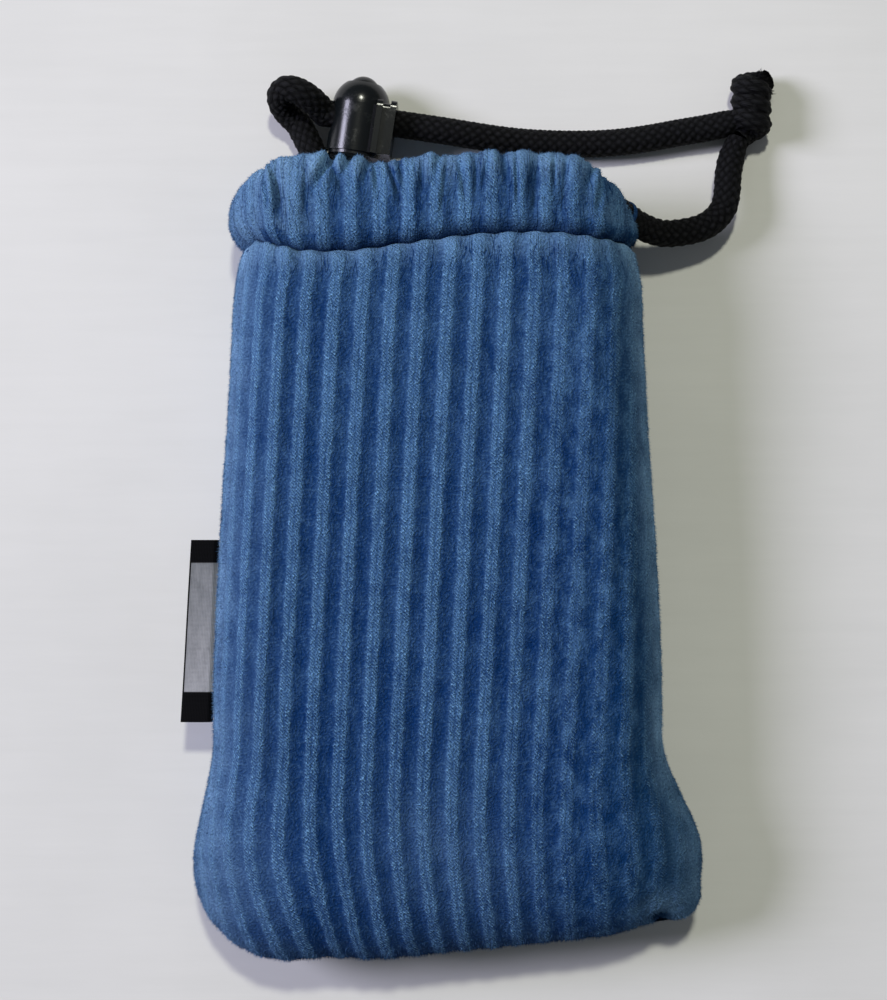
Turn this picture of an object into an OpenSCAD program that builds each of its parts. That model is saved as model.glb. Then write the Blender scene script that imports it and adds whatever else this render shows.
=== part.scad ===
// Padded drawstring pouch of ribbed velour. It lies on its back, mouth towards +Y,
// and the side and bottom seams lie in one level plane at mid thickness.

/* [Pouch body] */
// Width of the filled body at mid length
body_w = 83.4; // [70:0.2:100]
// Width at the mouth
mouth_w = 75.5; // [60:0.5:90]
// Flat width just above the bottom seam
bottom_w = 95.6; // [80:0.2:115]
// Whole length, bottom seam to the top of the cord channel
pouch_l = 150.2; // [120:0.2:190]
// Height of the front above the seam plane
front_rise = 12.5; // [10.5:0.5:18]
// Depth of the back below the seam plane, to the foot of its ribs
back_depth = 10.7; // [10:0.1:16]
// Length over which the body narrows towards the mouth
taper_l = 90; // [50:5:110]
// Radius of the body's sides in plan
side_r = 11; // [9.5:0.5:14]
// Reach of the softer sides near the bottom seam
bottom_side_r = 24; // [16:1:30]
// Length over which the thickness runs out to the bottom seam
end_round_l = 19; // [12:1:30]
// Extra height of the front's middle
crown = 1.0; // [0:0.25:3]
// Height above the bottom seam where the corners start to spread
flare_top = 42; // [35:1:60]
// Height above the bottom seam where the corners are widest
flare_low = 17; // [8:1:24]
// Radius of the bottom left corner
left_corner_r = 18; // [8:1:24]
// Radius of the bottom right corner
right_corner_r = 7; // [4:0.5:20]
// How much higher the bottom seam ends at the right
bottom_slant = 7.7; // [0:0.1:12]
// Sideways shift of the mouth end
mouth_shift = -1.1; // [-3:0.1:3]
// Sideways shift of the bottom end
bottom_shift = 1.2; // [-3:0.1:3]

/* [Cloth layers] */
// Thickness of the velour below its ribs
cloth_t = 1.4; // [0.8:0.1:2]
// Height of a rib
rib_h = 0.9; // [0.4:0.1:1.4]
// Ribs across one panel, seam to seam
rib_count = 18; // [12:1:22]
// Thickness of the foam padding
padding_t = 2; // [1:0.25:3]
// Thickness of the lining
lining_t = 0.5; // [0.3:0.1:1]
// Gap between two layers
layer_gap = 0.2; // [0.1:0.05:0.4]
// How much of the back's ribs is pressed flat where the pouch lies
flat_cut = 0.6; // [0.3:0.1:0.8]

/* [Cord channel] */
// Height of the channel above its stitched groove, at the middle
channel_h = 15.4; // [13:0.2:22]
// Thickness of the rolled channel
channel_t = 8.5; // [8:0.1:9]
// How far the groove bows down towards both sides
groove_bow = 2.6; // [0:0.2:4]
// How far the groove climbs from the middle to the right side
groove_tilt = 1.5; // [0:0.1:3]
// Depth of the stitched groove
groove_depth = 1.6; // [0.5:0.1:2]
// Gap between channel and body where the stitches cross
groove_gap = 0.5; // [0.4:0.1:1]
// How far the channel's top bows down towards both sides
top_bow = 1.2; // [0:0.2:3]
// Reach of the rounded top corners across the channel
top_corner_w = 12; // [6:1:16]
// Drop of the rounded top corners
top_corner_h = 7; // [3:0.5:7.5]
// How much lower the back half of the channel ends
back_lower = 3.6; // [2:0.2:5]

/* [Stitching] */
// Diameter of the sewing thread
thread_d = 0.4; // [0.2:0.05:0.45]
// Length of one stitch
stitch_l = 2.6; // [1.5:0.1:4]
// Distance from stitch to stitch
stitch_pitch = 3.8; // [3:0.2:6]

/* [Drawcord] */
// Diameter of the braided cord
cord_d = 5; // [4:0.1:5.2]
// Gap round the cord in its two eyelets
eyelet_gap = 0.12; // [0.1:0.02:0.3]
// Thickness of an eyelet's whipped edge
eyelet_t = 0.6; // [0.4:0.1:1]
// Angle down the channel's right end where the cord turns out
exit_angle = 38; // [30:1:50]
// Length of the cord from there to its end outside the seam
exit_reach = 10.6; // [9:0.2:13]

/* [Side label] */
// Length of the label along the seam
label_l = 34.2; // [20:0.2:50]
// Width of the label at its upper end
label_top_w = 5; // [3:0.2:15]
// Width of the label at its lower end
label_low_w = 5.8; // [3:0.2:15]
// Place of the label's upper end along the pouch
label_top_y = 3.1; // [-20:0.1:20]
// Thickness of one of the label's two layers
label_layer_t = 0.35; // [0.2:0.05:0.7]
// Gap between the label's two layers
label_fold_gap = 0.2; // [0.1:0.05:0.5]
// Gap between the label and the seam
label_gap = 0.3; // [0.2:0.05:0.6]

/* [Cord lock] */
// Radius of the lock's barrel
barrel_r = 5.45; // [5.2:0.05:6.5]
// Length of the barrel below the cord, to the base plug's rim
barrel_low = 6.9; // [6.9:0.1:9]
// Length of the barrel above the cord, to the start of its dome
barrel_high = 2.2; // [2.2:0.1:4]
// Radius of the plunger's body
plunger_r = 4.05; // [3.8:0.05:4.2]
// Radius of the push button
button_r = 3.2; // [2.5:0.1:3.4]
// How far the button stands above the dome
button_proud = 1.5; // [1.3:0.1:3]
// Travel of the plunger from grip to release
press_travel = 1.2; // [0.8:0.1:1.4]
// Running gap round the cord in the gripping holes
cord_gap = 0.1; // [0.05:0.05:0.2]
// Running gap between plunger and barrel
plunger_gap = 0.2; // [0.1:0.05:0.3]
// Wall below the plunger's cross hole
plunger_floor = 0.7; // [0.5:0.1:1]
// Length of the plunger's skirt round the spring
skirt_l = 1.6; // [1:0.1:1.8]
// Thickness of the base plug's rim
base_rim_t = 0.6; // [0.4:0.1:1]
// Thickness of the part of the base plug inside the barrel
base_plug_t = 0.6; // [0.4:0.1:1]
// How far the squared collar starts from the barrel's axis
collar_start = 3.2; // [2.5:0.1:4]
// How far the collar's face stands from the barrel's axis
collar_reach = 6.9; // [6:0.1:9]
// Height of the collar above the cord
collar_high = 3.5; // [3.3:0.1:4]
// Half thickness of the collar's flanges
collar_half_t = 5.2; // [4.6:0.1:5.4]
// Depth of the groove between the collar's two flanges
collar_groove = 0.6; // [0.3:0.1:1]
// Thickness of each flange of the collar
flange_t = 1.1; // [0.6:0.1:1.5]
// Angle by which the lock leans
lock_lean = 8.5; // [0:0.5:15]
// Diameter of the spring's wire
wire_d = 0.45; // [0.3:0.05:0.5]
// Mean radius of the spring
spring_r = 2.4; // [1.8:0.1:2.6]
// Turns of the spring
spring_turns = 2.75; // [2:0.25:2.75]
// Gap between the lock and the surface it lies on
lock_lift = 0.15; // [0.05:0.05:0.5]

/* [Hidden] */

velour = [0.27, 0.47, 0.71];
foam = [0.55, 0.58, 0.62];
lining = [0.12, 0.15, 0.22];
thread = [0.2, 0.36, 0.6];
black_cord = [0.07, 0.07, 0.08];
black_plastic = [0.1, 0.1, 0.11];
label_cloth = [0.15, 0.15, 0.16];
steel = [0.7, 0.71, 0.72];

front = 1;
back = -1;

low_y = -pouch_l / 2;
top_y = pouch_l / 2;
groove_y = top_y - channel_h;
seam_z = back_depth + rib_h - flat_cut;
half_bottom = bottom_w / 2;
padding_d = cloth_t + layer_gap;
lining_d = padding_d + padding_t + layer_gap;
thread_depth = cloth_t + 0.9;
cord_r = cord_d / 2;
eyelet_r = cord_r + eyelet_gap + eyelet_t;
eyelet_hole_r = eyelet_r + 0.05;

// ---- small helpers ----

function clamp01(t) = min(max(t, 0), 1);
function ease(t) = let (c = clamp01(t)) c * c * (3 - 2 * c);
function unit(v) = v / norm(v);
function sign_pow(v, p) = sign(v) * pow(abs(v), p);

// ---- the pouch's outline and cross-section ----

function flare(y) = ease((low_y + flare_top - y) / (flare_top - flare_low));
function half_w(y) =
    mouth_w / 2
    + (body_w - mouth_w) / 2 * ease((groove_y - y) / taper_l)
    + (bottom_w - body_w) / 2 * flare(y);
function round_r(y) = side_r + (bottom_side_r - side_r) * flare(y);
function centre_x(y) = mouth_shift + (bottom_shift - mouth_shift) * flare(y);
function depth_of(side) = side == front ? front_rise : back_depth;

// Share of a panel's half width that is level, before its side rounds off
function level_share(y, side) =
    let (r = round_r(y), flat = half_w(y) - r)
    flat / (flat + PI / 2 * sqrt((r * r + pow(depth_of(side), 2)) / 2));

// Offset from the middle line at place u across the panel, -1 to 1, at a depth in the cloth
function across(u, y, d, side) =
    let (r = round_r(y), flat = half_w(y) - r, s = level_share(y, side))
    abs(u) <= s ? u / s * flat
        : sign(u) * (flat + (r - d) * sin(90 * (abs(u) - s) / (1 - s)));

// Height over the seam plane as a share of the full height, at place u
function arch(u, y, side) =
    let (s = level_share(y, side))
    abs(u) <= s ? 1 : cos(90 * (abs(u) - s) / (1 - s));

// How full the pouch is at a distance from its bottom seam
function fullness(dist, d) =
    let (l = end_round_l - d)
    dist >= l ? 1 : sqrt(max(0, 1 - pow(1 - dist / l, 2)));

// Point of the pouch's surface, sunk by depth d
function pouch_point(u, y, d, dist, side) =
    let (
        x = across(u, y, d, side),
        full = fullness(dist, d),
        rise = (depth_of(side) - d) * arch(u, y, side)
            + (side == front ? crown * (1 - pow(x / (half_w(y) - d), 2)) : 0),
        z = seam_z + side * rise * full
    )
    [centre_x(y) + x, y, max(z, 0)];

// Bottom seam, with its slant and its two rounded corners
function seam_x(u) = across(u, low_y, 0, front);
function corner_rise(x, r) = let (t = clamp01((x - (half_bottom - r)) / r)) r * (1 - sqrt(1 - t * t));
function seam_y(u) =
    let (x = seam_x(u), left_end = left_corner_r - half_bottom)
    low_y
    + bottom_slant * max(0, (x - left_end) / (half_bottom - left_end))
    + (x < 0 ? corner_rise(-x, left_corner_r) : corner_rise(x, right_corner_r));

// Stitched groove and top of the cord channel
function groove_at(u) = groove_y - groove_bow * u * u + groove_tilt * u;
function top_at(u, side) =
    let (
        x = abs(across(u, groove_y, 0, side)),
        t = clamp01((x - (mouth_w / 2 - top_corner_w)) / top_corner_w)
    )
    top_y - top_bow * u * u - (side == back ? back_lower * (1 - u * u) : 0)
    - top_corner_h * (1 - sqrt(1 - t * t));

// ---- ribs: the places across a panel and the rib's height there ----

// Places with a valley and one crest or two shoulders to each rib
function rib_places(crests) =
    [for (k = [0:rib_count - 1], c = [0:crests])
        let (t = c == 0 ? 0 : crests == 1 ? 0.5 : c == 1 ? 0.28 : 0.72)
        2 * (k + t) / rib_count - 1, 1];
function rib_at(u) =
    let (k = (u + 1) / 2 * rib_count, t = k - floor(k + 0.001))
    rib_h * (t > 0.2 && t < 0.8 ? 1 : 0);

// ---- half shells: the panels, padding and linings ----

// Rows of points in a column: round the bottom edge, along the body, and near the groove
arc_rows = 4;
body_rows = 7;
near_groove = [5.5, 2.75];
// Power that sets the body's rows closer together where the corners spread
row_crowding = 1.4;

// Distances of a column's points from its start at the bottom seam. All layers share
// them, so the facets of one layer lie level with those of the next.
function row_distances(len, d, first_row, end_gap) =
    let (arc_l = end_round_l - d, body_l = len - near_groove[0] - arc_l)
    concat(
        [for (k = [first_row:arc_rows]) arc_l * (1 - cos(90 * k / arc_rows))],
        [for (k = [1:body_rows]) arc_l + body_l * pow(k / body_rows, row_crowding)],
        [len - near_groove[1]],
        end_gap < near_groove[1] ? [len - end_gap] : []
    );
function groove_dip(gap) = groove_depth * pow(clamp01(1 - gap / near_groove[0]), 2);

// One surface of a layer, column by column
function layer_surface(places, d, side, first_row, end_gap, ribbed) =
    [for (u = places)
        let (
            rib = ribbed ? rib_at(u) : 0,
            start = seam_y(u) + d - rib,
            len = groove_at(u) - start
        )
        for (dist = row_distances(len, d - rib, first_row, end_gap))
            pouch_point(u, start + dist, d - rib + groove_dip(len - dist), dist, side)];

// Closed shell between two grids of points with the same columns and rows
module grid_shell(outer, inner, columns, rows, side) {
    n = columns * rows;
    function at(i, j) = i * rows + j;
    function quad(a, b, c, d) = side == front ? [[a, b, c], [a, c, d]] : [[c, b, a], [d, c, a]];
    outside = [for (i = [0:columns - 2], j = [0:rows - 2])
        each quad(at(i, j), at(i, j + 1), at(i + 1, j + 1), at(i + 1, j))];
    inside = [for (i = [0:columns - 2], j = [0:rows - 2])
        each quad(n + at(i, j), n + at(i + 1, j), n + at(i + 1, j + 1), n + at(i, j + 1))];
    ends = [for (i = [0:columns - 2])
        each concat(
            quad(at(i, 0), at(i + 1, 0), n + at(i + 1, 0), n + at(i, 0)),
            quad(at(i, rows - 1), n + at(i, rows - 1), n + at(i + 1, rows - 1), at(i + 1, rows - 1))
        )];
    sides = [for (j = [0:rows - 2])
        each concat(
            quad(at(0, j), n + at(0, j), n + at(0, j + 1), at(0, j + 1)),
            quad(at(columns - 1, j), at(columns - 1, j + 1),
                n + at(columns - 1, j + 1), n + at(columns - 1, j))
        )];
    polyhedron(points = concat(outer, inner), faces = concat(outside, inside, ends, sides));
}

module layer(places, d, t, side, first_row, end_gap, ribbed) {
    outer = layer_surface(places, d, side, first_row, end_gap, ribbed);
    inner = layer_surface(places, d + t, side, first_row, end_gap, false);
    grid_shell(outer, inner, len(places), len(outer) / len(places), side);
}

module panel(side) color(velour)
    layer(rib_places(2), 0, cloth_t, side, 0, groove_gap / 2, true);

// The foam stops short of all seams, which leaves room for their threads
foam_share = 0.93;
foam_places = [for (k = [-6:6]) foam_share * k / 6];
module padding(side) color(foam)
    layer(foam_places, padding_d, padding_t, side, 1, near_groove[1], false);

module pocket_lining(side) color(lining)
    layer(concat([-1], foam_places, [1]), lining_d, lining_t, side, 0, groove_gap, false);

// ---- the cord channel: a rolled tube round each half of the mouth ----

loop_points = 12;
roll_square = 0.7;
pinch_depth = 2.6;

function channel_mid(u, side) = (groove_at(u) + top_at(u, side)) / 2;

// One loop round the roll at place u, inset by the cloth's thickness for the hollow
function roll_loop(u, side, inset, rib) =
    let (
        mid = channel_mid(u, side),
        half_h = (top_at(u, side) - groove_at(u)) / 2 - groove_gap / 2 - inset,
        half_t = channel_t / 2 - inset
    )
    [for (k = [0:loop_points - 1])
        let (
            angle = 360 * k / loop_points,
            out = sin(angle) > 0.1 ? 1 : 0,
            low = pow(clamp01((1 + cos(angle)) / 2), 3),
            d = channel_t / 2 - half_t * sign_pow(sin(angle), roll_square)
                - rib * out + (pinch_depth - channel_t / 2) * low
        )
        pouch_point(u, mid - half_h * sign_pow(cos(angle), roll_square), d, pouch_l, side)];

module roll(side) {
    places = rib_places(1);
    n = len(places);
    m = loop_points;
    points = concat(
        [for (u = places) each roll_loop(u, side, 0, rib_at(u))],
        [for (u = places) each roll_loop(u, side, cloth_t, 0)]
    );
    function at(i, k) = i * m + k % m;
    function quad(a, b, c, d) = side == front ? [[a, b, c], [a, c, d]] : [[c, b, a], [d, c, a]];
    skin = [for (i = [0:n - 2], k = [0:m - 1])
        each quad(at(i, k), at(i, k + 1), at(i + 1, k + 1), at(i + 1, k))];
    hollow = [for (i = [0:n - 2], k = [0:m - 1])
        each quad(n * m + at(i, k), n * m + at(i + 1, k), n * m + at(i + 1, k + 1),
            n * m + at(i, k + 1))];
    caps = [for (k = [0:m - 1])
        each concat(
            quad(at(0, k), n * m + at(0, k), n * m + at(0, k + 1), at(0, k + 1)),
            quad(at(n - 1, k), at(n - 1, k + 1), n * m + at(n - 1, k + 1), n * m + at(n - 1, k))
        )];
    polyhedron(points = points, faces = concat(skin, hollow, caps));
}

module casing(side) {
    color(velour) difference() {
        roll(side);
        eyelet_hole(right_eyelet, right_exit_dir);
        cord_passage();
        if (side == back) eyelet_hole(back_eyelet, back_exit_dir);
    }
}

// ---- drawcord: where it runs and where it leaves the channel ----

// The cord's place in the channel at place u: it sags a little towards the groove
cord_sag = 0.8;
function channel_point(u, side) =
    pouch_point(u, channel_mid(u, side) - cord_sag * (1 - u * u), channel_t / 2, pouch_l, side);
function place_at_angle(angle, side) =
    let (s = level_share(groove_y, side)) s + (1 - s) * angle / 90;

eyelet_l = 2;
eyelet_sink = 0.9;
hole_sink = 1.6;
hole_l = 6;
right_inset = 1.9;
back_reach = 2.6;

exit_place = place_at_angle(exit_angle, front);
right_turn = channel_point(exit_place, front);
right_exit_dir = unit(channel_point(exit_place + 0.01, front) - right_turn);
right_end = right_turn + exit_reach * right_exit_dir;
right_eyelet = right_end - right_inset * right_exit_dir;

back_run_z = seam_z - (back_depth - channel_t / 2);
back_exit_dir = unit([-0.28, 0.96, 0]);
back_turn = [[-26, 64.6, back_run_z], [-22.9, 65, back_run_z], [-20.9, 66.8, back_run_z]];
back_eyelet = [-21.2, 70.4, back_run_z];
back_end = back_eyelet + back_reach * back_exit_dir;

module along(dir) rotate([0, acos(dir[2]), atan2(dir[1], dir[0])]) children();
module eyelet_hole(centre, dir) translate(centre) along(dir)
    translate([0, 0, -hole_sink]) cylinder(h = hole_l, r = eyelet_hole_r, $fn = 48);
// The slanting way through the channel's wall behind the right eyelet
module cord_passage() translate(right_turn) along(right_exit_dir)
    cylinder(h = exit_reach - right_inset, r = cord_r + eyelet_gap, $fn = 48);
module eyelet(centre, dir) color(thread) translate(centre) along(dir) difference() {
    translate([0, 0, -eyelet_sink]) cylinder(h = eyelet_l, r = eyelet_r, $fn = 48);
    translate([0, 0, -eyelet_l]) cylinder(h = 2 * eyelet_l, r = cord_r + eyelet_gap, $fn = 48);
}

// Tube swept along points, with its ends square to the given directions. Its radius is
// one value or a list with one for each point.
function route_dir(p, i, first, last) =
    i == 0 ? first : i == len(p) - 1 ? last : unit(unit(p[i + 1] - p[i]) + unit(p[i] - p[i - 1]));
function carried(v, dir) = unit(v - (v * dir) * dir);
function side_dirs(p, first, last, seed) =
    [for (i = 0, v = carried(seed, first); i < len(p);
        i = i + 1, v = i < len(p) ? carried(v, route_dir(p, i, first, last)) : v) v];

module tube(p, r, sides, first, last, seed) {
    dirs = side_dirs(p, first, last, seed);
    n = len(p);
    points = [for (i = [0:n - 1])
        let (t = route_dir(p, i, first, last), b = cross(t, dirs[i]))
        for (k = [0:sides - 1])
            p[i] + (is_list(r) ? r[i] : r) * (cos(360 * k / sides) * dirs[i] + sin(360 * k / sides) * b)];
    function at(i, k) = i * sides + k % sides;
    skin = [for (i = [0:n - 2], k = [0:sides - 1])
        each [[at(i, k), at(i + 1, k), at(i + 1, k + 1)], [at(i, k), at(i + 1, k + 1), at(i, k + 1)]]];
    near_cap = [for (k = [1:sides - 2]) [at(0, 0), at(0, k), at(0, k + 1)]];
    far_cap = [for (k = [1:sides - 2]) [at(n - 1, 0), at(n - 1, k + 1), at(n - 1, k)]];
    polyhedron(points = points, faces = concat(skin, near_cap, far_cap));
}

function end_dir(p) = unit(p[len(p) - 1] - p[len(p) - 2]);
// Radii along a run whose last points are pulled narrow by the knot
function narrowed(p, last_r) = let (n = len(p) - len(last_r))
    [for (i = [0:len(p) - 1]) i < n ? cord_r : last_r[i - n]];

cord_sides = 10;
front_steps = 20;
left_steps = 5;
// Straight lengths of the cord inside its two eyelets
right_straight = 3.6;
back_straight = 1.2;

// Inside the channel: from the right eyelet round the front and the left end to the back
casing_route = concat(
    [right_end, right_end - right_straight * right_exit_dir],
    [for (k = [0:front_steps])
        channel_point(exit_place - 0.02 - (exit_place - 0.02 + level_share(groove_y, front))
            * k / front_steps, front)],
    [for (k = [1:left_steps]) channel_point(-place_at_angle(90 * k / left_steps, front), front)],
    [for (k = [left_steps - 1:-1:1]) channel_point(-place_at_angle(90 * k / left_steps, back), back)],
    back_turn,
    [back_eyelet - back_straight * back_exit_dir, back_end]
);

// Free run from the right eyelet to the knot
right_route = concat([right_end], [
    [39.4, 61.5, 8.9], [42.2, 61.1, 7.5], [45.8, 61.5, 6.5], [49.2, 62.4, 6.0],
    [51.8, 64.0, 5.7], [53.6, 66.4, 5.4], [54.3, 69.4, 4.9], [54.6, 72.8, 4.3],
    [55.2, 75.8, 3.8], [55.9, 77.9, 3.6], [56.7, 79.7, 3.4]
]);
right_end_r = 1.9;

// Free run from the back eyelet through the fold and the lock to the knot
lock_place = [-15.8, 83.3, barrel_r + lock_lift];
lock_dir = [cos(lock_lean), -sin(lock_lean), 0];
lock_up = [sin(lock_lean), cos(lock_lean), 0];
function on_lock_axis(x) = lock_place + x * lock_dir;
left_route = concat([back_end], [
    [-24.2, 75.8, 4.3], [-25.6, 78.8, 4.0], [-26.9, 81.4, 3.5], [-28.4, 83.3, 3.3],
    [-30.5, 85.0, 3.9], [-31.9, 86.8, 5.4], [-31.9, 88.4, 7.5], [-30.3, 89.1, 9.1],
    [-28.0, 88.3, 9.5], [-26.0, 86.8, 8.5], [-24.3, 85.3, 6.9]
], [on_lock_axis(-6.8), on_lock_axis(-5.6), on_lock_axis(0), on_lock_axis(8), on_lock_axis(16)], [
    [5.0, 80.2, 5.2], [10.0, 79.6, 4.2], [15.0, 79.2, 3.2], [20.0, 79.0, 2.6],
    [25.0, 78.9, 2.5], [30.0, 79.0, 2.5], [35.0, 79.4, 2.5], [40.0, 80.1, 2.6],
    [45.0, 81.0, 2.9], [50.0, 81.8, 3.9], [53.7, 82.5, 5.1], [56.0, 83.1, 5.8]
]);

// ---- stitches ----

module bar(a, b, r) translate(a) along(unit(b - a)) cylinder(h = norm(b - a), r = r, $fn = 16);

// Row of stitches along the channel's groove
stitched_share = 0.95;
stitch_sink = 1.2;
module groove_stitches(side) {
    count = floor(mouth_w / stitch_pitch);
    step = 2 * stitched_share / count;
    reach = step * stitch_l / stitch_pitch;
    color(thread) for (k = [0:count - 1]) let (u = k * step - stitched_share)
        bar(pouch_point(u, groove_at(u), stitch_sink, pouch_l, side),
            pouch_point(u + reach, groove_at(u + reach), stitch_sink, pouch_l, side), thread_d / 2);
}

// Seam threads lie in the seam plane, between the velour's edges and the lining
corner_gap = 6;
top_end_gap = 8;
module side_thread(hand) {
    start = seam_y(hand) + corner_gap;
    count = floor((groove_at(hand) - top_end_gap - start) / stitch_pitch);
    color(thread) for (k = [0:count - 1]) let (y = start + k * stitch_pitch)
        bar(pouch_point(hand, y, thread_depth, pouch_l, front),
            pouch_point(hand, y + stitch_l, thread_depth, pouch_l, front), thread_d / 2);
}

module bottom_thread() {
    count = floor((bottom_w - left_corner_r - right_corner_r - corner_gap) / stitch_pitch);
    first_x = left_corner_r + corner_gap / 2 - half_bottom;
    color(thread) for (k = [0:count - 1]) let (x = first_x + k * stitch_pitch)
        bar(bottom_point(x), bottom_point(x + stitch_l), thread_d / 2);
}
function bottom_point(x) =
    [centre_x(low_y) + x,
        low_y + thread_depth
            + bottom_slant * (x - left_corner_r + half_bottom) / (bottom_w - left_corner_r),
        seam_z];

// Three tight stitches over the edge of the bottom right corner, clear of its outermost rib
tack_places = [0.815, 0.835, 0.855];
tack_h = 2.4;
tack_off = thread_d / 2 + 0.1;
module tack() color(thread) for (u = tack_places)
    translate(pouch_point(u, seam_y(u) - rib_h, -rib_h, 0, front) + [tack_off, -tack_off, -tack_h / 2])
        cylinder(h = tack_h, r = thread_d / 2, $fn = 16);

// ---- side label: one woven strip folded double and sewn into the left seam ----

label_low_y = label_top_y - label_l;
label_t = 2 * label_layer_t + label_fold_gap;
function left_edge(y) = centre_x(y) - half_w(y);
label_mid_y = (label_top_y + label_low_y) / 2;
label_bow = left_edge(label_mid_y) - (left_edge(label_top_y) + left_edge(label_low_y)) / 2;
label_root = min(label_bow, 0) - label_gap;
label_outline = [
    [left_edge(label_top_y) + label_root, label_top_y],
    [left_edge(label_top_y) + label_root - label_top_w, label_top_y],
    [left_edge(label_low_y) + label_root - label_low_w, label_low_y],
    [left_edge(label_low_y) + label_root, label_low_y]
];
module side_label() {
    color(label_cloth) difference() {
        translate([0, 0, seam_z - label_t / 2]) linear_extrude(label_t) polygon(label_outline);
        translate([label_layer_t, 0, seam_z - label_fold_gap / 2])
            linear_extrude(label_fold_gap) polygon([
                [label_outline[0][0] + 1, label_top_y + 1],
                [label_outline[1][0], label_top_y + 1],
                label_outline[1], label_outline[2],
                [label_outline[2][0], label_low_y - 1],
                [label_outline[3][0] + 1, label_low_y - 1]
            ]);
    }
}

// ---- knot and tails ----

// The knot: from the right run's end into tight turns round an axis along Y, and out again
knot_axis = [59.4, 82.9, 4.2];
knot_turn_r = 1.95;
knot_cord_r = 1.7;
knot_pitch = 3.6;
knot_steps = 10;
knot_start_angle = -90;
knot_end_angle = 675;
knot_coil = [for (k = [0:2 * knot_steps + 1])
    let (turned_by = (knot_end_angle - knot_start_angle) * k / (2 * knot_steps + 1),
        angle = knot_start_angle + turned_by)
    knot_axis + [knot_turn_r * cos(angle), knot_pitch * turned_by / 360, knot_turn_r * sin(angle)]];
knot_route = concat(
    [right_route[len(right_route) - 1], [57.5, 81.3, 3.0], [58.5, 82.4, 2.5]],
    knot_coil, [[61.9, 91.4, 3.6], [62.9, 92.2, 4.3]]
);
knot_r = [for (i = [0:len(knot_route) - 1]) i == 0 ? right_end_r : knot_cord_r];
module knot() color(black_cord)
    tube(knot_route, knot_r, cord_sides, end_dir(right_route), end_dir(knot_route), [0, 1, 0]);

// The two short ends past the knot
tail_gap = 0.05;
out_dir = end_dir(knot_route);
tails = [
    [knot_route[len(knot_route) - 1] + tail_gap * out_dir, out_dir, 1.6, knot_cord_r],
    [[60.2, 90.6, 6.1], unit([0.25, 0.95, 0.1]), 2.4, 1.1]
];
module tail_ends() color(black_cord) for (t = tails)
    translate(t[0]) along(t[1]) cylinder(h = t[2], r = t[3], $fn = 24);

// ---- cord lock, in its own frame: cord along X, button towards +Y ----

hole_r = cord_r + cord_gap + press_travel / 2;
housing_hole_q = -press_travel / 2;
plunger_hole_q = press_travel / 2;
plunger_low_q = plunger_hole_q - hole_r - plunger_floor;
skirt_q = plunger_low_q - skirt_l;
floor_q = -barrel_low + base_plug_t;
barrel_bore_r = plunger_r + plunger_gap;
shoulder_q = barrel_high + plunger_gap;
dome_q = barrel_high;
button_top_q = dome_q + sqrt(pow(barrel_r, 2) - pow(button_r + plunger_gap, 2)) + button_proud;

module lock_frame() translate(lock_place) rotate([0, 0, -lock_lean]) children();
module turned() rotate([-90, 0, 0]) rotate_extrude($fn = 96) children();

// Profile of a barrel with a round top, from low_q up to a dome centred on high_q
module bullet(r, low_q, high_q) intersection() {
    translate([0, low_q]) square([r, high_q - low_q + r]);
    union() {
        translate([0, low_q]) square([r, high_q - low_q]);
        translate([0, high_q]) circle(r = r, $fn = 96);
    }
}

module cross_hole(q) translate([-2 * barrel_r, q, 0]) rotate([0, 90, 0])
    cylinder(h = 4 * barrel_r, r = hole_r, $fn = 64);

// Rounded plate in the YZ plane, from x, t thick
module plate(x, t, low_q, high_q, half_z, r) translate([x, 0, 0]) rotate([90, 0, 90])
    linear_extrude(t) {
        translate([low_q, -half_z + r]) square([high_q - low_q, 2 * half_z - 2 * r]);
        translate([low_q, -half_z]) square([high_q - low_q - r, 2 * half_z]);
        for (s = [-1, 1]) translate([high_q - r, s * (half_z - r)]) circle(r = r, $fn = 32);
    }

flange_corner_r = 1.4;
neck_corner_r = 1;
module housing() {
    color(black_plastic) lock_frame() difference() {
        union() {
            turned() bullet(barrel_r, -barrel_low, dome_q);
            plate(collar_start, collar_reach - collar_start, -barrel_low,
                collar_high - collar_groove, collar_half_t - collar_groove, neck_corner_r);
            for (x = [collar_start, collar_reach - flange_t])
                plate(x, flange_t, -barrel_low, collar_high, collar_half_t, flange_corner_r);
        }
        turned() translate([0, -barrel_low - 1]) square([barrel_bore_r, shoulder_q + barrel_low + 1]);
        turned() square([button_r + plunger_gap, barrel_high + barrel_r + 1]);
        cross_hole(housing_hole_q);
    }
}

rim_inset = 0.5;
plug_gap = 0.05;
module base() color(black_plastic) lock_frame() turned() {
    translate([0, -barrel_low - base_rim_t]) square([barrel_r - rim_inset, base_rim_t]);
    translate([0, -barrel_low - base_rim_t / 2])
        square([barrel_bore_r - plug_gap, base_plug_t + base_rim_t / 2]);
}

skirt_t = 0.85;
module plunger() {
    color(black_plastic) lock_frame() difference() {
        union() {
            turned() translate([0, skirt_q]) square([plunger_r, barrel_high - skirt_q]);
            turned() bullet(button_r, 0, button_top_q - button_r);
        }
        turned() translate([0, skirt_q - 1]) square([plunger_r - skirt_t, skirt_l + 1]);
        cross_hole(plunger_hole_q);
    }
}

spring_seat_gap = 0.02;
spring_low_q = floor_q + wire_d / 2 + spring_seat_gap;
spring_high_q = plunger_low_q - wire_d / 2 - spring_seat_gap;
spring_rings = 8;
spring_points = [for (k = [0:spring_turns * spring_rings])
    let (t = k / spring_rings)
    [spring_r * cos(360 * t), spring_low_q + (spring_high_q - spring_low_q) * t / spring_turns,
        -spring_r * sin(360 * t)]];
module spring() {
    n = len(spring_points);
    color(steel) lock_frame()
        tube(spring_points, wire_d / 2, 6, unit(spring_points[1] - spring_points[0]),
            unit(spring_points[n - 1] - spring_points[n - 2]), [0, 1, 0]);
}

// ---- the nodes ----

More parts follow.
